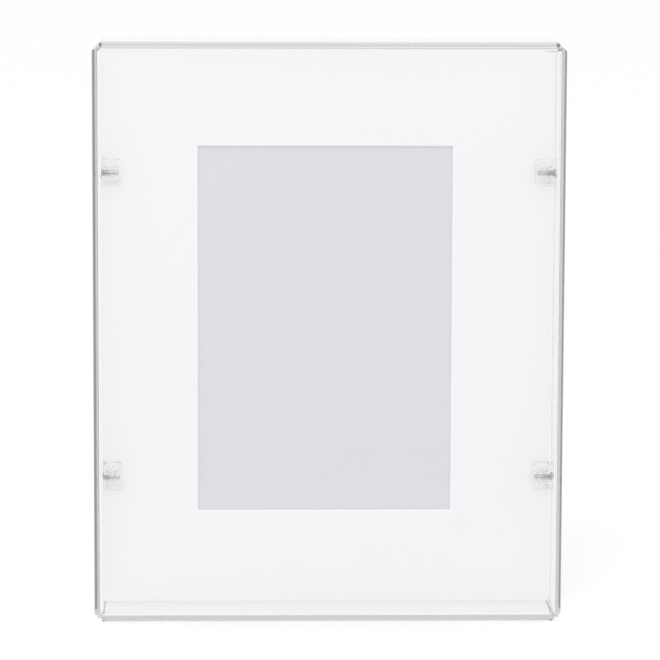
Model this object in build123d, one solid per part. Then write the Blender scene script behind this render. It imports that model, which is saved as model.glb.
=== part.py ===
from build123d import *
from math import cos, radians, sin
import os

# Shared clearances
fixed_fit = 0.02            # round holes around parts that stay put
running_fit = 0.05          # round holes around parts that turn
overrun = 2.0               # how far a cutting tool passes the face it cuts

# Matted print and its backing
mat_width = 203.2
mat_height = 254.0
mat_thickness = 1.4
window_width = 115.1
window_height = 166.6
window_shift_x = -1.05      # the opening is cut a little off the mat's centre
window_shift_z = -1.5
window_bevel = 0.5
print_width = 127.0
print_height = 177.8
print_thickness = 0.3
panel_thickness = 3.0

# Acrylic cover, folded from one sheet
sheet_thickness = 3.0
bend_inner_radius = 1.7
rim_round = 0.3             # polished rear edges of the walls
mat_side_gap = 0.5          # between the mat and each wall
display_depth = 30.0        # from the inside of the face to the mat
rear_recess = 2.3           # from the panel to the walls' rear edges
side_wall_notch = 2.4       # the side walls stop this far from the top and bottom
end_wall_gap = 0.3          # between the top and bottom walls and the side walls
corner_cut = 4.2            # the diagonal cut across each open corner

# Steel pins, each on a round foot bonded inside a side wall
pin_foot_radius = 1.8
pin_foot_length = 0.6
pin_radius = 1.25
pin_body_end = 4.9          # from the wall's inner face to the neck
pin_neck_radius = 1.0
pin_neck_length = 0.5
pin_nose_radius = 1.15
pin_tip_chamfer = 0.25
pin_reach = 8.1             # from the wall's inner face to the pin's tip
pin_standoff = 6.0          # from the mat up to the pin's axis
lower_pin_height = 62.5     # from the base
pin_row_spacing = 138.5

# Clear snap clips that grip the pins, each on a boss through mat and board
clip_width = 8.3
clip_height = 11.5
clip_depth = 9.5
clip_wall_gap = 0.4         # between the clip and the cover's side wall
clip_edge_chamfer = 0.4
clip_back = 1.6
clip_outer_wall = 1.0
clip_end_wall = 1.1
clip_jaw = 0.9
clip_pocket_chamfer = 0.6
clip_seat_clearance = 0.1   # round the pin at the bottom of the jaws
clip_throat_clearance = 0.02
clip_lead_in = 0.7
foot_clearance = 0.3
boss_radius = 1.6
boss_hole_clearance = 0.1
boss_end_gap = 0.1          # the boss ends this far inside the board's rear face

# Screws driven from behind into the bosses
screw_radius = 0.8
screw_head_radius = 2.6
screw_head_height = 1.2
screw_head_chamfer = 0.4
screw_end_cover = 0.7       # from the screw's tip to the mat's front face
pilot_end_gap = 0.2
screw_recess_width = 0.6
screw_recess_length = 2.6
screw_recess_depth = 0.7

# Riveted hangers with swinging wire rings
wire_radius = 0.65
wire_sides = 8              # flats that stand for the round wire
ring_width = 14.0           # across the middle of the wire
ring_side_length = 5.0
ring_corner_radius = 1.5
strap_thickness = 0.4
strap_width = 9.0
strap_reach = 12.5          # from the ring's axis to the strap's far end
curl_end_angle = 45.0       # how far past the ring's bar the curl's end turns back
rivet_drop = 7.6            # from the ring's axis to the rivet
rivet_radius = 1.5
rivet_head_radius = 2.6
rivet_head_height = 1.0
rivet_foot_radius = 2.4
rivet_foot_height = 0.9
hanger_inset = 24.0         # from the panel's edge to the ring's axis

# Sizes and places that follow
cavity_width = mat_width + 2 * mat_side_gap
cavity_height = mat_height + 2 * mat_side_gap
cover_width = cavity_width + 2 * sheet_thickness
cover_height = cavity_height + 2 * sheet_thickness
cover_depth = (sheet_thickness + display_depth + mat_thickness + print_thickness
               + panel_thickness + rear_recess)
front_y = -cover_depth / 2
rear_y = cover_depth / 2
mat_y = front_y + sheet_thickness + display_depth
print_y = mat_y + mat_thickness
panel_y = print_y + print_thickness
panel_rear_y = panel_y + panel_thickness
middle_z = cover_height / 2
wall_x = cavity_width / 2
pin_y = mat_y - pin_standoff
pin_heights = {"lower": lower_pin_height, "upper": lower_pin_height + pin_row_spacing}
sides = {"left": -1, "right": 1}
clip_face_x = wall_x - clip_wall_gap
boss_x = clip_face_x - clip_width / 2
seat_radius = pin_radius + clip_seat_clearance
throat_half_width = pin_radius + clip_throat_clearance
relief_radius = pin_foot_radius + foot_clearance
relief_depth = pin_foot_length + foot_clearance - clip_wall_gap
pack_thickness = mat_thickness + print_thickness + panel_thickness
boss_length = pack_thickness - boss_end_gap
screw_length = pack_thickness - screw_end_cover
pilot_length = screw_length + pilot_end_gap - boss_end_gap
curl_radius = wire_radius + running_fit
ring_lift = strap_thickness + curl_radius
ring_y = panel_rear_y + ring_lift
hanger_z = middle_z + mat_height / 2 - hanger_inset
hanger_x = mat_width / 2 - hanger_inset


def polygon(*points):
    """A closed flat face through the given points."""
    return make_face(Polyline(*points, close=True))


def along_x(profile, length):
    """A profile drawn as (y, z), run along +X from x = 0."""
    return extrude(Plane.YZ * profile, amount=length)


def along_y(profile, start, length):
    """A profile drawn as (x, z) seen from behind the start plane, run along +Y."""
    plane = Plane(origin=(0, start, 0), x_dir=(1, 0, 0), z_dir=(0, -1, 0))
    return extrude(plane * profile, amount=-length)


def corners_at(section, y):
    """The corners of a flat section that lie at the given depth."""
    return section.vertices().filter_by_position(Axis.Y, y - fixed_fit, y + fixed_fit)


def bent_channel(width, length):
    """The sheet folded into a U: a face of this width with a wall down each side."""
    inner_y = front_y + sheet_thickness
    inner = Rectangle(width - 2 * sheet_thickness, cover_depth)
    section = Rectangle(width, cover_depth) - Pos(0, sheet_thickness) * inner
    section = fillet(corners_at(section, front_y), bend_inner_radius + sheet_thickness)
    section = fillet(corners_at(section, inner_y), bend_inner_radius)
    section = fillet(corners_at(section, rear_y), rim_round)
    return Pos(0, 0, -length / 2) * extrude(section, amount=length)


def corner_diamond():
    """A square bar on its edge, which cuts an open corner back along a diagonal."""
    side = corner_cut * 2 ** 0.5
    return Rot(0, 45, 0) * Box(side, cover_depth + overrun, side)


def front_cover():
    """Two crossed channels of one sheet, with open corners."""
    side_walls = bent_channel(cover_width, cover_height - 2 * side_wall_notch)
    end_length = cavity_width - 2 * end_wall_gap
    end_walls = Rot(0, 90, 0) * bent_channel(cover_height, end_length)
    cover = Pos(0, 0, middle_z) * (side_walls + end_walls)
    for x in (-cover_width / 2, cover_width / 2):
        for z in (0, cover_height):
            cover -= Pos(x, 0, z) * corner_diamond()
    return cover


def turned_pin():
    """A turned pin along +X from the wall: foot, body, neck and a slimmer nose."""
    neck_end = pin_body_end + pin_neck_length
    outline = polygon(
        (0, 0), (0, pin_foot_radius),
        (pin_foot_length, pin_foot_radius), (pin_foot_length, pin_radius),
        (pin_body_end, pin_radius), (pin_body_end, pin_neck_radius),
        (neck_end, pin_neck_radius), (neck_end, pin_nose_radius),
        (pin_reach, pin_nose_radius), (pin_reach, 0))
    corner = outline.vertices().sort_by_distance((pin_reach, pin_nose_radius))[0]
    return revolve(chamfer(corner, pin_tip_chamfer), Axis.X)


def place_pin(side, height):
    turn = 0 if side < 0 else 180
    return Pos(side * wall_x, pin_y, height) * Rot(0, 0, turn) * turned_pin()


def forward_slot(radius, half_width):
    """A round seat at the pin's axis with a straight way out to the clip's front."""
    way_out = clip_depth - pin_standoff + overrun
    return Circle(radius) + Pos(-way_out / 2, 0) * Rectangle(way_out, 2 * half_width)


def lead_in():
    """The flared mouth of the jaws."""
    mouth = pin_standoff - clip_depth
    flare = throat_half_width + clip_lead_in
    return polygon(
        (mouth - overrun, flare + overrun), (mouth - overrun, -flare - overrun),
        (mouth, -flare), (mouth + clip_lead_in, -throat_half_width),
        (mouth + clip_lead_in, throat_half_width), (mouth, flare))


def cut_rectangle(width, height, corner):
    """A rectangle with its corners cut off."""
    outline = Rectangle(width, height)
    return chamfer(outline.vertices(), corner)


def snap_clip():
    """The left clip about its pin's axis: x = 0 at the wall side, jaws open forward."""
    block = Pos(clip_width / 2, 0) * cut_rectangle(clip_width, clip_height, clip_edge_chamfer)
    clip = along_y(block, pin_standoff - clip_depth, clip_depth)
    pocket_width = clip_width - 2 * clip_end_wall
    pocket_top = clip_height / 2 - clip_outer_wall
    pocket_foot = throat_half_width + clip_jaw
    pocket = cut_rectangle(pocket_width, pocket_top - pocket_foot, clip_pocket_chamfer)
    pocket_depth = clip_depth - clip_back + overrun
    for way in (-1, 1):
        place = Pos(clip_width / 2, way * (pocket_top + pocket_foot) / 2)
        clip -= along_y(place * pocket, pin_standoff - clip_depth - overrun, pocket_depth)
    jaws = forward_slot(seat_radius, throat_half_width) + lead_in()
    clip -= Pos(-overrun, 0, 0) * along_x(jaws, clip_width + 2 * overrun)
    relief = forward_slot(relief_radius, relief_radius)
    clip -= Pos(-overrun, 0, 0) * along_x(relief, relief_depth + overrun)
    middle = Pos(clip_width / 2, 0)
    clip += along_y(middle * Circle(boss_radius), pin_standoff, boss_length)
    pilot = middle * Circle(screw_radius + fixed_fit)
    pilot_start = pin_standoff + boss_length - pilot_length
    return clip - along_y(pilot, pilot_start, pilot_length + overrun)


def place_clip(side, height):
    turn = 0 if side < 0 else 180
    return Pos(side * clip_face_x, pin_y, height) * Rot(0, turn, 0) * snap_clip()


def sheet(start, thickness):
    """A squared sheet of the mat's size, with the four holes for the clips' bosses."""
    outline = Rectangle(mat_width, mat_height)
    for x, z in boss_places():
        outline -= Pos(x, z - middle_z) * Circle(boss_radius + boss_hole_clearance)
    return Pos(0, 0, middle_z) * along_y(outline, start, thickness)


def boss_places():
    """Where the clips' bosses lie, as (x, z)."""
    return [(side * boss_x, z) for side in sides.values() for z in pin_heights.values()]


def mat():
    """The mount board with its window, whose front edge has a narrow bevel."""
    place = Pos(window_shift_x, 0, middle_z + window_shift_z)
    window = Rectangle(window_width, window_height)
    mouth = Rectangle(window_width + 2 * window_bevel, window_height + 2 * window_bevel)
    bevel_y = mat_y + window_bevel
    faces = [Plane(origin=(0, y, 0), x_dir=(1, 0, 0), z_dir=(0, -1, 0)) * outline
             for y, outline in ((mat_y, mouth), (bevel_y, window))]
    opening = loft(faces, ruled=True) + along_y(window, bevel_y, cover_depth)
    return sheet(mat_y, mat_thickness) - place * opening


def print_sheet():
    """The print, a little larger than the window that it lies behind."""
    place = Pos(window_shift_x, 0, middle_z + window_shift_z)
    return place * along_y(Rectangle(print_width, print_height), print_y, print_thickness)


def back_panel():
    """The backing board, drilled for the clips' bosses and the hanger rivets."""
    panel = sheet(panel_y, panel_thickness)
    for place in hanger_places():
        panel -= place * rivet_hole()
    return panel


def clip_screw():
    """A flat-headed cross-recessed screw, its head clamped on the board."""
    top_y = panel_rear_y + screw_head_height
    head = along_y(Circle(screw_head_radius), panel_rear_y, screw_head_height)
    rim = head.edges().group_by(Axis.Y)[-1]
    screw = chamfer(rim, screw_head_chamfer)
    screw += along_y(Circle(screw_radius), panel_rear_y - screw_length, screw_length)
    for turn in (0, 90):
        slot = Rot(0, turn, 0) * Box(screw_recess_length, 2 * screw_recess_depth, screw_recess_width)
        screw -= Pos(0, top_y, 0) * slot
    return screw


def hanger_places():
    """The top hanger's place, and the side hanger's a quarter turn round."""
    return [Pos(0, 0, hanger_z), Pos(hanger_x, 0, middle_z) * Rot(0, 90, 0)]


def rivet_hole():
    """The flared hole for a rivet, under a hanger whose ring axis is at z = 0."""
    hole = along_y(Circle(rivet_radius + fixed_fit), panel_y - overrun, cover_depth)
    foot = Cone(rivet_foot_radius + fixed_fit, rivet_radius + fixed_fit, rivet_foot_height)
    foot = Pos(0, panel_y + rivet_foot_height / 2, 0) * Rot(-90, 0, 0) * foot
    return Pos(0, 0, -rivet_drop) * (hole + foot)


def rivet():
    """A domed rivet through strap and panel, its foot flared into the panel's front."""
    face = panel_rear_y + strap_thickness
    dome_radius = (rivet_head_radius ** 2 + rivet_head_height ** 2) / (2 * rivet_head_height)
    dome = Pos(0, face + rivet_head_height - dome_radius, 0) * Sphere(dome_radius)
    dome &= along_y(Circle(rivet_head_radius), face, rivet_head_height)
    shank = along_y(Circle(rivet_radius), panel_y, face - panel_y)
    foot = Cone(rivet_foot_radius, rivet_radius, rivet_foot_height)
    foot = Pos(0, panel_y + rivet_foot_height / 2, 0) * Rot(-90, 0, 0) * foot
    return Pos(0, 0, -rivet_drop) * (dome + shank + foot)


def curl_section():
    """The strap's edge-on section about the ring's axis: x is height off the panel, y is Z."""
    outer_radius = curl_radius + strap_thickness
    far = 2 * outer_radius
    flat = Pos(-curl_radius - strap_thickness / 2, -strap_reach / 2) * Rectangle(strap_thickness, strap_reach)
    end = (far * sin(radians(curl_end_angle)), -far * cos(radians(curl_end_angle)))
    mouth = polygon((0, 0), (-far, 0), (-far, -far), (0, -far), end)
    return flat + (Circle(outer_radius) - Circle(curl_radius) - mouth)


def hanger_strap():
    """Sheet steel curled round the ring's bar, with a round-ended plate on the panel."""
    strap = Pos(-strap_width / 2, ring_y, 0) * along_x(curl_section(), strap_width)
    end_z = strap_width / 2 - strap_reach
    length = strap_reach + curl_radius + strap_thickness - strap_width / 2
    outline = Pos(0, end_z) * Circle(strap_width / 2)
    outline += Pos(0, end_z + length / 2) * Rectangle(strap_width, length)
    strap &= along_y(outline, panel_rear_y - overrun, cover_depth)
    hole = along_y(Circle(rivet_radius + fixed_fit), panel_rear_y - overrun, cover_depth)
    return strap - Pos(0, 0, -rivet_drop) * hole


def hanger_ring():
    """A D of wire hanging from its straight bar, which lies on the ring's axis."""
    half = ring_width / 2
    path = Polyline((-half, -ring_side_length), (-half, 0), (half, 0), (half, -ring_side_length))
    path = fillet(path.vertices()[1:3], ring_corner_radius)
    bow = ThreePointArc((half, -ring_side_length), (0, -ring_side_length - half), (-half, -ring_side_length))
    plane = Plane(origin=(0, ring_y, 0), x_dir=(1, 0, 0), z_dir=(0, -1, 0))
    route = plane * Wire([*path.edges(), bow])
    start = Plane(origin=route @ 0, z_dir=route % 0)
    return sweep(start * RegularPolygon(wire_radius, wire_sides), path=route)


def save(node, shape):
    os.makedirs("parts", exist_ok=True)
    export_step(shape, f"parts/{node}.step")


def main():
    save("front_cover", front_cover())
    save("mat", mat())
    save("print_sheet", print_sheet())
    save("back_panel", back_panel())
    for side_name, side in sides.items():
        for row_name, height in pin_heights.items():
            save(f"pin_{row_name}_{side_name}", place_pin(side, height))
            save(f"clip_{row_name}_{side_name}", place_clip(side, height))
    save("clip_screws", Compound(children=[Pos(x, 0, z) * clip_screw() for x, z in boss_places()]))
    save("hanger_rivets", Compound(children=[place * rivet() for place in hanger_places()]))
    for name, place in zip(("top", "side"), hanger_places()):
        save(f"hanger_strap_{name}", place * hanger_strap())
        save(f"hanger_ring_{name}", place * hanger_ring())


main()
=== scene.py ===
import math

import bmesh
import bpy
import numpy as np
from mathutils import Matrix, Vector


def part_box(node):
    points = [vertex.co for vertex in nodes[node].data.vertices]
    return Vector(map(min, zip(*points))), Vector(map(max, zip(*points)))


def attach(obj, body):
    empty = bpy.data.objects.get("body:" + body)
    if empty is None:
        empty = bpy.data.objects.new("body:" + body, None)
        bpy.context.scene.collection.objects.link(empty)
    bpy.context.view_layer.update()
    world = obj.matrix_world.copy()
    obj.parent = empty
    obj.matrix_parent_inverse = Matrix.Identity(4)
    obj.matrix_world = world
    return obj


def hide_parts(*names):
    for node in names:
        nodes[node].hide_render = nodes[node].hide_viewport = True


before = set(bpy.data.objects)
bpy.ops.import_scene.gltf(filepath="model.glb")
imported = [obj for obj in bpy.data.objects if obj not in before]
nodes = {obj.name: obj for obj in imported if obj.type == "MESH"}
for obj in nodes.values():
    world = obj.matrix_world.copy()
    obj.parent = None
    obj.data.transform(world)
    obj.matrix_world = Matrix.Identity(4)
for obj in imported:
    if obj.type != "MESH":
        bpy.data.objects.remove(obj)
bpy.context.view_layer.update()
mm = 0.001


# Clear cover: one acrylic sheet folded by heat into a face and four walls, open at the corners.
# Two crossed channels of the sheet are joined into one skin and cut back at the corners.
# Its sawn edges are only lightly polished, so they scatter a little of what they pass.

cover_low, cover_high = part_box("front_cover")
cover_size = cover_high - cover_low
cover_middle = (cover_low + cover_high) / 2
sheet_thickness = 3.0 * mm
fold_inner_radius = 1.7 * mm
rim_round = 0.3 * mm
side_wall_notch = 2.4 * mm      # from the cover's top and bottom to the ends of its side walls
wall_gap = 0.3 * mm             # between the walls at an open corner
end_wall_notch = sheet_thickness + wall_gap
corner_cut = 4.2 * mm           # off each corner, along both its sides
edge_polish = 0.2 * mm
edge_angle = math.radians(35)   # the least turn of an edge that gets a narrow round
edge_round_steps = 2
flat_face_weight = 80           # of large faces over small ones, in smooth shading
acrylic_ior = 1.49
acrylic_roughness = 0.012
acrylic_density = 12.0          # of absorption, per metre
reflection_limit = 2.5          # light reflected more often than this leaves the plastic straight
wipe_noise = (38.0, 3.0)        # scale and detail of the marks that a cloth leaves
wipe_spread = (0.5, 1.6)        # least and most of their roughness, as shares of the plastic's


def node_adder(tree):
    """A call that adds a node to the tree, with its inputs and settings given by name."""
    def add(kind, **values):
        node = tree.nodes.new(kind)
        for key, value in values.items():
            if key in node.inputs:
                node.inputs[key].default_value = value
            else:
                setattr(node, key, value)
        return node

    return add


def material_tree(name, slot=""):
    """A new node material with a Principled shader, and calls that add and join its nodes."""
    material = bpy.data.materials.new(name)
    material.use_nodes = True
    material["slot"] = slot
    tree = material.node_tree
    return material, tree.nodes["Principled BSDF"], node_adder(tree), tree.links.new


def set_inputs(node, values):
    for key, value in values.items():
        node.inputs[key].default_value = value


def reckon(add, join, operation, *terms):
    """The result of one step of arithmetic on its terms, each a node's output or a number."""
    step = add("ShaderNodeMath", operation=operation)
    for socket, term in zip(step.inputs, terms):
        if isinstance(term, bpy.types.NodeSocket):
            join(term, socket)
        else:
            socket.default_value = term
    return step.outputs[0]


def spread_of(add, join, start, low, high, begin=0.0, end=1.0, way="LINEAR"):
    """A value that runs from begin to end, carried to the range from low to high."""
    spread = add("ShaderNodeMapRange", interpolation_type=way)
    set_inputs(spread, {"From Min": begin, "From Max": end, "To Min": low, "To Max": high})
    join(start, spread.inputs["Value"])
    return spread.outputs["Result"]


def noise(add, join, scale, detail, roughness=0.5):
    """A noise pattern from 0 to 1 on the piece's Object coordinates."""
    where = add("ShaderNodeTexCoord")
    pattern = add("ShaderNodeTexNoise", Scale=scale, Detail=detail, Roughness=roughness)
    join(where.outputs["Object"], pattern.inputs["Vector"])
    return pattern.outputs["Fac"]


def cloudy_finish(add, join, shader, roughness, shares, pattern):
    """A roughness that wanders between two shares of its own value, in a noise pattern."""
    clouds = noise(add, join, *pattern)
    low, high = (roughness * share for share in shares)
    join(spread_of(add, join, clouds, low, high), shader.inputs["Roughness"])


def clear_plastic(name, slot, roughness, density):
    """A clear plastic: it bends what is seen through it, and lets lamp and bounced light pass."""
    material, shader, add, join = material_tree(name, slot)
    set_inputs(shader, {"Base Color": (1, 1, 1, 1), "Roughness": roughness, "IOR": acrylic_ior,
                        "Transmission Weight": 1.0})
    cloudy_finish(add, join, shader, roughness, wipe_spread, wipe_noise)
    path = add("ShaderNodeLightPath").outputs
    caught = reckon(add, join, "GREATER_THAN", path["Glossy Depth"], reflection_limit)
    lighting = reckon(add, join, "MAXIMUM", path["Is Shadow Ray"], path["Is Diffuse Ray"])
    straight = reckon(add, join, "MAXIMUM", lighting, caught)
    clear = add("ShaderNodeBsdfTransparent", Color=(1, 1, 1, 1))
    mix = add("ShaderNodeMixShader")
    join(straight, mix.inputs[0])
    join(shader.outputs[0], mix.inputs[1])
    join(clear.outputs[0], mix.inputs[2])
    depth = add("ShaderNodeVolumeAbsorption", Color=(0, 0, 0, 1), Density=density)
    output = material.node_tree.nodes["Material Output"]
    join(mix.outputs[0], output.inputs["Surface"])
    join(depth.outputs[0], output.inputs["Volume"])
    return material


def rounded_outline(corners, steps=10):
    """A closed outline through corners (a, b, radius): each corner is an arc that touches both sides.

    The arc's centre lies radius / sin(half) along the bisector, where half is half the corner's angle.
    """
    parts = []
    for i, (a, b, radius) in enumerate(corners):
        here = np.array((a, b))
        if radius == 0:
            parts.append(here[None])
            continue
        before = np.array(corners[i - 1][:2]) - here
        after = np.array(corners[(i + 1) % len(corners)][:2]) - here
        before, after = before / np.hypot(*before), after / np.hypot(*after)
        half = np.arccos(np.clip(before @ after, -1, 1)) / 2
        bisector = (before + after) / np.hypot(*(before + after))
        centre = here + bisector * radius / np.sin(half)
        start = here + before * radius / np.tan(half) - centre
        sweep = math.pi - 2 * half
        side = np.sign(before[1] * after[0] - before[0] * after[1])
        turn = np.linspace(0, sweep, steps + 1) * side
        arc = np.stack([start[0] * np.cos(turn) - start[1] * np.sin(turn),
                        start[0] * np.sin(turn) + start[1] * np.cos(turn)], 1)
        parts.append(centre + arc)
    return np.concatenate(parts)


def show(name, data):
    """Puts a mesh, a lamp or a camera into the scene as an object at the origin."""
    obj = bpy.data.objects.new(name, data)
    bpy.context.scene.collection.objects.link(obj)
    return obj


def skin(name, rings, closed=False):
    """A skin over a grid of rings (ring, point, xyz), whose bands join each ring to the next.

    An open row of rings gets a flat cap at each end. In a closed one the last ring joins the first.
    """
    count, around = rings.shape[:2]
    bands = count if closed else count - 1
    ring, point = np.meshgrid(np.arange(bands), np.arange(around), indexing="ij")
    next_ring, next_point = (ring + 1) % count, (point + 1) % around
    faces = np.stack([ring * around + point, ring * around + next_point,
                      next_ring * around + next_point, next_ring * around + point], -1)
    faces = faces.reshape(-1, 4).tolist()
    if not closed:
        faces += [list(range(around))[::-1], list(range((count - 1) * around, count * around))]
    mesh = bpy.data.meshes.new(name)
    mesh.from_pydata(rings.reshape(-1, 3).tolist(), [], faces)
    work = bmesh.new()
    work.from_mesh(mesh)
    bmesh.ops.recalc_face_normals(work, faces=work.faces)
    work.to_mesh(mesh)
    work.free()
    return show(name, mesh)


def prism(name, outline, start, end, order):
    """An outline (a, b) run from start to end along c, with (a, b, c) dealt to x, y and z by order."""
    a, b = outline[:, 0], outline[:, 1]
    rings = np.stack([np.stack([a, b, np.full(len(a), c)], 1)[:, order] for c in (start, end)])
    return skin(name, rings)


def combine(obj, tool, operation):
    """Joins the tool to the object or cuts it away, and removes the tool."""
    step = obj.modifiers.new(operation, "BOOLEAN")
    step.operation = operation
    step.solver = "EXACT"
    step.object = tool
    graph = bpy.context.evaluated_depsgraph_get()
    made = bpy.data.meshes.new_from_object(obj.evaluated_get(graph))
    obj.modifiers.clear()
    obj.data = made
    bpy.data.objects.remove(tool)


def set_polygons(obj, key, kind, value):
    """Gives one value to every polygon of a mesh."""
    obj.data.polygons.foreach_set(key, np.full(len(obj.data.polygons), value, kind))


def smooth_faces(obj):
    """Smooth shading that keeps flat faces flat, and sharp edges sharp."""
    set_polygons(obj, "use_smooth", bool, True)
    weights = obj.modifiers.new("Shading", "WEIGHTED_NORMAL")
    weights.mode = "FACE_AREA"
    weights.weight = flat_face_weight
    weights.keep_sharp = True


def soft_edges(obj, width):
    """A narrow round on every edge that turns by more than the least angle."""
    round_edges = obj.modifiers.new("Round", "BEVEL")
    round_edges.width = width
    round_edges.segments = edge_round_steps
    round_edges.limit_method = "ANGLE"
    round_edges.angle_limit = edge_angle
    smooth_faces(obj)


def dress(obj, material):
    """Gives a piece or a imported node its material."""
    obj.data.materials.clear()
    obj.data.materials.append(material)
    set_polygons(obj, "material_index", np.int32, 0)


def channel(name, middle, width, length, order):
    """The sheet folded into a U about its middle, drawn as across and depth, with round folds and rims."""
    half = width / 2
    inner = half - sheet_thickness
    outer_fold = fold_inner_radius + sheet_thickness
    front, rear = cover_low.y, cover_high.y
    corners = [(-half, rear, rim_round), (-half, front, outer_fold),
               (half, front, outer_fold), (half, rear, rim_round),
               (inner, rear, rim_round), (inner, front + sheet_thickness, fold_inner_radius),
               (-inner, front + sheet_thickness, fold_inner_radius), (-inner, rear, rim_round)]
    outline = rounded_outline(corners) + np.array((middle[0], 0))
    return prism(name, outline, middle[1] - length / 2, middle[1] + length / 2, order)


def clear_cover():
    """The side channel and the end channel as one skin, its four corners cut back diagonally."""
    x, z = cover_middle.x, cover_middle.z
    cover = channel("clear_cover", (x, z), cover_size.x, cover_size.z - 2 * side_wall_notch, [0, 1, 2])
    ends = channel("end_walls", (z, x), cover_size.z, cover_size.x - 2 * end_wall_notch, [2, 1, 0])
    combine(cover, ends, "UNION")
    diamond = np.array([(-corner_cut, 0), (0, -corner_cut), (corner_cut, 0), (0, corner_cut)])
    before, behind = cover_low.y - sheet_thickness, cover_high.y + sheet_thickness
    for x in (cover_low.x, cover_high.x):
        for z in (cover_low.z, cover_high.z):
            tool = prism("corner", diamond + (x, z), before, behind, [0, 2, 1])
            combine(cover, tool, "DIFFERENCE")
    return cover


cover = clear_cover()
soft_edges(cover, edge_polish)
dress(cover, clear_plastic("clear_acrylic", "clear_acrylic", acrylic_roughness, acrylic_density))
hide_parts("front_cover")
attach(cover, "cover")


# Steel pins: turned bars, each with a round foot bonded inside a side wall, a body, a neck and a nose.
# Each is one lathed skin. The fine rings that the turning tool leaves run round it.

pin_nodes = [f"pin_{row}_{side}" for row in ("lower", "upper") for side in ("left", "right")]
pin_foot_radius = 1.8 * mm
pin_foot_length = 0.6 * mm
pin_bond_depth = 0.01 * mm      # the foot's base lies this far inside the wall's face
pin_radius = 1.25 * mm
pin_body_end = 4.9 * mm
pin_neck_radius = 1.0 * mm
pin_neck_length = 0.5 * mm
pin_nose_radius = 1.15 * mm
pin_tip_round = 0.25 * mm
pin_tip_steps = 6
pin_edge = 0.08 * mm
pin_sharp_angle = math.radians(50)
pin_groove_depth = 0.1 * mm
pin_groove_spacing = 0.9 * mm   # from the neck's middle to a finer groove in the nose
# Painted sheen: the steel's colour with painted shade where it faces the view, and with a painted
# highlight where it turns away.
steel_facing_shade = (0.62, 0.62, 0.63, 1)
steel_grazing_sheen = (0.84, 0.84, 0.85, 1)
steel_body_painted_shade = 0.66         # of the body's colour beside the nose's: painted shade on the body, a painted reflection on the nose
steel_roughness = 0.24
steel_spread = (0.8, 1.4)       # least and most of the roughness in its dull blotches
steel_noise = (900.0, 4.0)      # scale and detail of the blotches
turning_ring_pitch = 0.19 * mm
turning_ring_height = 0.02 * mm
turning_ring_strength = 0.15
turning_ring_waver = 0.6
turning_ring_detail = 2.0
wave_turn = 20.0                # by which a wave pattern turns per metre at scale 1, in radians
pin_root_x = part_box("pin_lower_right")[1].x
pin_body_x = pin_root_x - pin_body_end / 2
pin_nose_x = pin_root_x - pin_body_end - pin_neck_length


def lathe(name, profile, place, around=64):
    """A profile (along, radius) turned about its axis: each point becomes a ring of its radius.

    place takes the distance along the axis and two distances across it, as arrays, to x, y and z.
    """
    along, radius = np.array(profile).T
    turn = np.linspace(0, 2 * math.pi, around, endpoint=False)
    along, turn = np.meshgrid(along, turn, indexing="ij")
    across = radius[:, None] * np.cos(turn)
    up = radius[:, None] * np.sin(turn)
    return skin(name, np.stack(place(along, across, up), -1))


def pin_profile(length):
    """Half the pin's outline from the wall: foot, body, neck, nose with a fine groove, rounded tip.

    The tip is a quarter circle between the nose's side and its end.
    """
    neck_end = pin_body_end + pin_neck_length
    groove = (pin_body_end + neck_end) / 2 + pin_groove_spacing
    points = [(-pin_bond_depth, pin_foot_radius), (pin_foot_length - pin_edge, pin_foot_radius),
              (pin_foot_length, pin_foot_radius - pin_edge), (pin_foot_length, pin_radius),
              (pin_body_end - pin_edge, pin_radius), (pin_body_end, pin_radius - pin_edge),
              (pin_body_end, pin_neck_radius), (neck_end, pin_neck_radius),
              (neck_end, pin_nose_radius - pin_edge), (neck_end + pin_edge, pin_nose_radius),
              (groove - 2 * pin_edge, pin_nose_radius), (groove, pin_nose_radius - pin_groove_depth),
              (groove + 2 * pin_edge, pin_nose_radius)]
    turn = np.linspace(0, math.pi / 2, pin_tip_steps + 1)
    tip = np.stack([length - pin_tip_round * (1 - np.sin(turn)),
                    pin_nose_radius - pin_tip_round * (1 - np.cos(turn))], 1)
    return np.concatenate([points, tip])


def lift_surface(add, join, shader, height, strength, distance):
    """Raises the surface a little where the pattern of heights is high."""
    lift = add("ShaderNodeBump", Strength=strength, Distance=distance)
    join(height, lift.inputs["Height"])
    join(lift.outputs["Normal"], shader.inputs["Normal"])


def turned_steel(name, slot):
    """Bright steel with fine rings across its axis, which runs along X. Its colour holds a painted sheen,
    lighter where the surface turns away, and painted shade on the body beside the nose.
    """
    material, shader, add, join = material_tree(name, slot)
    set_inputs(shader, {"Metallic": 1.0})
    # Painted sheen: the colour runs from painted shade where the surface faces the view to a painted
    # highlight where it turns away.
    facing = add("ShaderNodeLayerWeight")
    painted_sheen = add("ShaderNodeMix", data_type="RGBA", A=steel_facing_shade, B=steel_grazing_sheen)
    where = add("ShaderNodeTexCoord")
    split = add("ShaderNodeSeparateXYZ")
    scale = add("ShaderNodeVectorMath", operation="SCALE")
    join(facing.outputs["Facing"], painted_sheen.inputs["Factor"])
    join(where.outputs["Object"], split.inputs[0])
    outward = reckon(add, join, "ABSOLUTE", split.outputs["X"])
    # Painted shade and reflection: the body's colour is darker than the nose's.
    level = spread_of(add, join, outward, 1.0, steel_body_painted_shade, pin_nose_x, pin_body_x, "SMOOTHSTEP")
    join(painted_sheen.outputs["Result"], scale.inputs[0])
    join(level, scale.inputs["Scale"])
    join(scale.outputs["Vector"], shader.inputs["Base Color"])
    rings = add("ShaderNodeTexWave", wave_type="BANDS", bands_direction="X",
                Scale=2 * math.pi / (wave_turn * turning_ring_pitch),
                Distortion=turning_ring_waver, Detail=turning_ring_detail)
    join(where.outputs["Object"], rings.inputs["Vector"])
    lift_surface(add, join, shader, rings.outputs["Fac"], turning_ring_strength, turning_ring_height)
    cloudy_finish(add, join, shader, steel_roughness, steel_spread, steel_noise)
    return material


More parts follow.
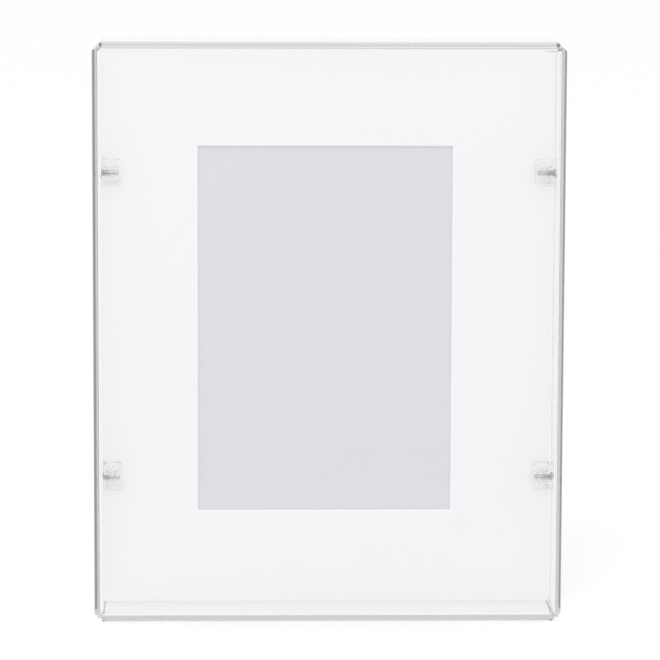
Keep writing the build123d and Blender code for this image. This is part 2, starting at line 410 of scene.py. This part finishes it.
def steel_pin(node, material):
    low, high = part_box(node)
    centre = (low + high) / 2
    inward = -1 if centre.x > 0 else 1
    wall_x = low.x if inward > 0 else high.x
    pin = lathe("steel_" + node, pin_profile(high.x - low.x),
                lambda along, across, up: (wall_x + inward * along, centre.y + across, centre.z + up))
    pin.data.set_sharp_from_angle(angle=pin_sharp_angle)
    smooth_faces(pin)
    dress(pin, material)
    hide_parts(node)
    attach(pin, "cover")


steel = turned_steel("turned_steel", "pin_steel")
for node in pin_nodes:
    steel_pin(node, steel)


# Mat: white mount board with a bevelled window. Its paper face has a faint fibre.
# The board is flat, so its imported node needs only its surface.

mat_colour = (0.925, 0.9235, 0.946, 1)
core_colour = (0.99, 0.99, 0.99, 1)
mat_mottle = 0.004              # by which the colour wanders up and down, as a share
core_mottle = 0.002
bevel_facing = (0.1, 0.9)       # how far forward the window's bevel looks, from sideways to straight on
paper_roughness = 0.95
paper_gloss = 0.2
mottle_noise = (22.0, 3.0)
fibre_noise = (2600.0, 2.0)
fibre_strength = 0.25
fibre_height = 0.05 * mm


def paper(name, slot, colour, mottle):
    """Matt paper or board: a colour with faint soft mottling and a fine fibrous grain."""
    material, shader, add, join = material_tree(name, slot)
    set_inputs(shader, {"Roughness": paper_roughness, "Specular IOR Level": paper_gloss})
    scale = add("ShaderNodeVectorMath", operation="SCALE")
    scale.inputs[0].default_value = colour[:3]
    clouds = noise(add, join, *mottle_noise)
    join(spread_of(add, join, clouds, 1.0 - mottle, 1.0 + mottle), scale.inputs["Scale"])
    join(scale.outputs["Vector"], shader.inputs["Base Color"])
    lift_surface(add, join, shader, noise(add, join, *fibre_noise), fibre_strength, fibre_height)
    return material


def show_core(obj, material):
    """Gives the core's material to the window's bevel: the polygons that face partly forward."""
    facing = np.empty(len(obj.data.polygons) * 3, np.float32)
    obj.data.polygons.foreach_get("normal", facing)
    forward = np.abs(facing[1::3])
    low, high = bevel_facing
    obj.data.materials.append(material)
    obj.data.polygons.foreach_set("material_index", ((forward > low) & (forward < high)).astype(np.int32))


dress(nodes["mat"], paper("mat_board", "mat_board", mat_colour, mat_mottle))
show_core(nodes["mat"], paper("mat_core", "mat_board", core_colour, core_mottle))


# Print: a plain pale grey sheet, a little larger than the window that it lies behind.
# It keeps the place of the owner's picture.

print_colour = (0.722, 0.733, 0.77, 1)
print_mottle = 0.008
dress(nodes["print_sheet"], paper("print_paper", "print_paper", print_colour, print_mottle))


# Backing board: hardboard coated white, drilled for the clips' bosses and the hangers.
# It shows only from behind and through the clear walls.

board_dark = (0.78, 0.78, 0.76, 1)
board_light = (0.86, 0.86, 0.85, 1)
board_edge = 0.2 * mm
board_roughness = 0.62
fleck_noise = (420.0, 6.0, 0.7)  # scale, detail and roughness
fleck_strength = 0.35
fleck_height = 0.08 * mm
coat_noise = (30.0, 2.0)
coat_share = 0.35               # of the coat's clouds, beside the flecks


def hardboard():
    """A white coat over pressed wood fibre, whose flecks still show a little."""
    material, shader, add, join = material_tree("hardboard", "hardboard")
    set_inputs(shader, {"Roughness": board_roughness})
    flecks = noise(add, join, *fleck_noise)
    blend = reckon(add, join, "MULTIPLY_ADD", noise(add, join, *coat_noise), coat_share, flecks)
    colour = add("ShaderNodeMix", data_type="RGBA", A=board_dark, B=board_light)
    join(blend, colour.inputs["Factor"])
    join(colour.outputs["Result"], shader.inputs["Base Color"])
    lift_surface(add, join, shader, flecks, fleck_strength, fleck_height)
    return material


soft_edges(nodes["back_panel"], board_edge)
dress(nodes["back_panel"], hardboard())


# Snap clips: clear moulded blocks whose jaws open forward round the pins.
# Each stands on a boss through mat and board, and a white disc moulded into its foot hides the screw.
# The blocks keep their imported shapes.

clip_nodes = [node.replace("pin", "clip") for node in pin_nodes]
clip_edge = 0.12 * mm
clip_roughness = 0.03
clip_density = 1.5
clip_disc_radius = 1.6 * mm
clip_disc_thickness = 0.3 * mm
clip_disc_depth = 0.05 * mm     # behind the mat's face
clip_plastic = clear_plastic("clear_clip_plastic", "clear_clip_plastic", clip_roughness, clip_density)
disc_white = paper("disc_white", "clear_clip_plastic", mat_colour, mat_mottle)


def screw_cover(node):
    """A flat white disc: a rim at its front and one at its back, each closed by a cap."""
    low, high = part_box(node)
    centre = (low + high) / 2
    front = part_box("mat")[0].y + clip_disc_depth
    rims = [(front, clip_disc_radius), (front + clip_disc_thickness, clip_disc_radius)]
    disc = lathe("disc_" + node, rims, lambda along, across, up: (centre.x + across, along, centre.z + up))
    dress(disc, disc_white)
    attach(disc, "back_pack")


for node in clip_nodes:
    soft_edges(nodes[node], clip_edge)
    dress(nodes[node], clip_plastic)
    screw_cover(node)


# Screws: flat heads with a cross recess, zinc plated, driven from behind into the clips' bosses.
# Their heads clamp the board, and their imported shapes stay.

zinc_colour = (0.62, 0.61, 0.57, 1)
zinc_spread = (0.75, 1.4)
zinc_noise = (650.0, 4.0)
screw_roughness = 0.3
small_edge = 0.06 * mm


def zinc(name, slot, roughness):
    """Plated steel: a grey metal with cloudy dull patches."""
    material, shader, add, join = material_tree(name, slot)
    set_inputs(shader, {"Base Color": zinc_colour, "Metallic": 1.0})
    cloudy_finish(add, join, shader, roughness, zinc_spread, zinc_noise)
    return material


soft_edges(nodes["clip_screws"], small_edge)
dress(nodes["clip_screws"], zinc("screw_zinc", "screw_steel", screw_roughness))


# Hangers: a plated steel strap riveted to the board and curled round the bar of a wire ring.
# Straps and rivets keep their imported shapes, and each ring is a round wire carried along its D.

hanger_roughness = 0.36
ring_roughness = 0.24
ring_width = 14.0 * mm          # between the wire's middles
ring_side_length = 5.0 * mm
ring_corner_radius = 1.5 * mm
hanger_zinc = zinc("hanger_zinc", "hanger_steel", hanger_roughness)
ring_zinc = zinc("ring_zinc", "ring_wire", ring_roughness)
for node in ("hanger_rivets", "hanger_strap_top", "hanger_strap_side"):
    soft_edges(nodes[node], small_edge)
    dress(nodes[node], hanger_zinc)


def ring_route(steps=32):
    """The D's centre line as across and down: a bar with round corners, two legs and a half circle."""
    half = ring_width / 2
    foot = (-half, ring_side_length, 0), (-half, 0, ring_corner_radius)
    top = rounded_outline([*foot, (half, 0, ring_corner_radius), (half, ring_side_length, 0)])
    turn = np.linspace(0, math.pi, steps)[1:-1]
    bow = np.stack([half * np.cos(turn), ring_side_length + half * np.sin(turn)], 1)
    return np.concatenate([top, bow])


def wire_ring(name, axis_point, wire_radius, across, down, around=20):
    """A wire carried round a closed flat route: its circles lie square to the route at each point."""
    route = ring_route()
    ahead = np.roll(route, -1, 0) - np.roll(route, 1, 0)
    ahead /= np.hypot(*ahead.T)[:, None]
    side = np.stack([ahead[:, 1], -ahead[:, 0]], 1)
    turn = np.linspace(0, 2 * math.pi, around, endpoint=False)
    flat = route[:, None] + wire_radius * np.cos(turn)[None, :, None] * side[:, None]
    points = axis_point + flat[..., :1] * across + flat[..., 1:] * down
    points[..., 1] += wire_radius * np.sin(turn)
    ring = skin(name, points, closed=True)
    set_polygons(ring, "use_smooth", bool, True)
    return ring


ring_ways = {"top": np.array([(1, 0, 0), (0, 0, -1)]), "side": np.array([(0, 0, 1), (-1, 0, 0)])}
for name, (across, down) in ring_ways.items():
    low, high = (np.array(corner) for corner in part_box(f"hanger_ring_{name}"))
    wire_radius = (high[1] - low[1]) / 2
    bar_end = np.where(down < 0, high, low)
    axis_point = np.where(down != 0, bar_end + down * wire_radius, (low + high) / 2)
    ring = wire_ring(f"wire_ring_{name}", axis_point, wire_radius, across, down)
    dress(ring, ring_zinc)
    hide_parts(f"hanger_ring_{name}")
    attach(ring, f"{name}_ring")


# Floor: a wide plain white sheet of paper under the frame, which runs out of the picture.
# It isn't part of the frame.

floor_reach = 14.0
floor_gap = 0.05 * mm           # below the frame
floor_colour = (0.99, 0.99, 0.99, 1)


def white_floor():
    """A flat square. It shows its shadows to the camera alone: the frame has the white room below it."""
    corners = np.array([(-1, -1), (1, -1), (1, 1), (-1, 1)]) * floor_reach
    corners = np.hstack([corners, np.full((4, 1), -floor_gap)])
    mesh = bpy.data.meshes.new("floor")
    mesh.from_pydata(corners.tolist(), [], [(0, 1, 2, 3)])
    floor = show("floor", mesh)
    material, shader, add, join = material_tree("floor_paper")
    set_inputs(shader, {"Base Color": floor_colour, "Roughness": 1.0, "Specular IOR Level": 0.0})
    floor.data.materials.append(material)
    floor.visible_diffuse = False
    floor.visible_transmission = False
    floor.visible_glossy = False


white_floor()


# Studio: an even white room, with one large soft lamp above and left of the camera.
# The lamp shapes the pins and lays a faint shadow on the floor. Two grey flags, left and right,
# draw the dark lines in the clear walls. They are part of the room's own light.

room_level = 1.0
flag_level = 0.35               # of the grey flags that stand left and right, as for glassware
flag_side_share = 0.45          # where their middles stand, as a share of straight sideways
flag_core_share = 0.12          # from their middles to where they begin to fade
flag_reach_share = 0.24         # from their middles to where they end
flag_reflections = 1.5          # light reflected more often than this sees the flags
lamp_power = 5.0                # watts
lamp_size = 0.9                 # metres
lamp_place = (-0.5, -1.2, 1.3)


def studio():
    """A white world. Only light that has been reflected twice or more sees the two flags."""
    world = bpy.data.worlds.new("studio")
    world.use_nodes = True
    bpy.context.scene.world = world
    tree = world.node_tree
    add, join = node_adder(tree), tree.links.new
    background = tree.nodes["Background"]
    background.inputs["Color"].default_value = (1, 1, 1, 1)
    where = add("ShaderNodeTexCoord")
    split = add("ShaderNodeSeparateXYZ")
    join(where.outputs["Generated"], split.inputs[0])
    sideways = reckon(add, join, "ABSOLUTE", split.outputs["X"])
    aside = reckon(add, join, "SUBTRACT", sideways, flag_side_share)
    off = reckon(add, join, "ABSOLUTE", aside)
    flags = spread_of(add, join, off, flag_level, room_level,
                      flag_core_share, flag_reach_share, "SMOOTHSTEP")
    path = add("ShaderNodeLightPath").outputs
    direct = reckon(add, join, "LESS_THAN", path["Glossy Depth"], flag_reflections)
    plain = reckon(add, join, "MAXIMUM", direct, path["Is Diffuse Ray"])
    level = add("ShaderNodeMix", B=room_level)
    join(flags, level.inputs["A"])
    join(plain, level.inputs["Factor"])
    join(level.outputs["Result"], background.inputs["Strength"])


def soft_lamp():
    data = bpy.data.lights.new("soft_lamp", "AREA")
    data.shape = "SQUARE"
    data.size = lamp_size
    data.energy = lamp_power
    lamp = show("soft_lamp", data)
    lamp.location = lamp_place
    aim = cover_middle - Vector(lamp_place)
    lamp.rotation_euler = aim.to_track_quat("-Z", "Y").to_euler()


studio()
soft_lamp()


# Camera: the photograph's view, from a little above and a little to the left.
# The view's middle lies a few pixels off the face's middle.

picture_width = 660
camera_distance = 1.65
camera_azimuth = math.radians(-1.5)
camera_elevation = math.radians(7.8)
camera_roll = math.radians(0.2)
face_scale = 0.445 * mm         # of one pixel at the face
face_middle_pixel = (329.1, 335.8)
sensor_width = 36.0
view_near = 0.1
view_far = 60.0


def camera():
    data = bpy.data.cameras.new("camera")
    data.sensor_width = sensor_width
    data.lens = sensor_width * camera_distance / (picture_width * face_scale)
    data.clip_start = view_near
    data.clip_end = view_far
    level = math.cos(camera_elevation)
    back = Vector((math.sin(camera_azimuth) * level, -math.cos(camera_azimuth) * level,
                   math.sin(camera_elevation)))
    right = Vector((math.cos(camera_azimuth), math.sin(camera_azimuth), 0))
    up = back.cross(right)
    tilted_right = right * math.cos(camera_roll) + up * math.sin(camera_roll)
    tilted_up = up * math.cos(camera_roll) - right * math.sin(camera_roll)
    aim = Vector((cover_middle.x, cover_low.y, cover_middle.z))
    aim += tilted_right * (picture_width / 2 - face_middle_pixel[0]) * face_scale
    aim += tilted_up * (face_middle_pixel[1] - picture_width / 2) * face_scale
    turn = Matrix((tilted_right, tilted_up, back)).transposed()
    obj = show("camera", data)
    obj.matrix_world = Matrix.Translation(aim + back * camera_distance) @ turn.to_4x4()
    bpy.context.scene.camera = obj


camera()
bpy.context.scene.view_settings.view_transform = "Standard"
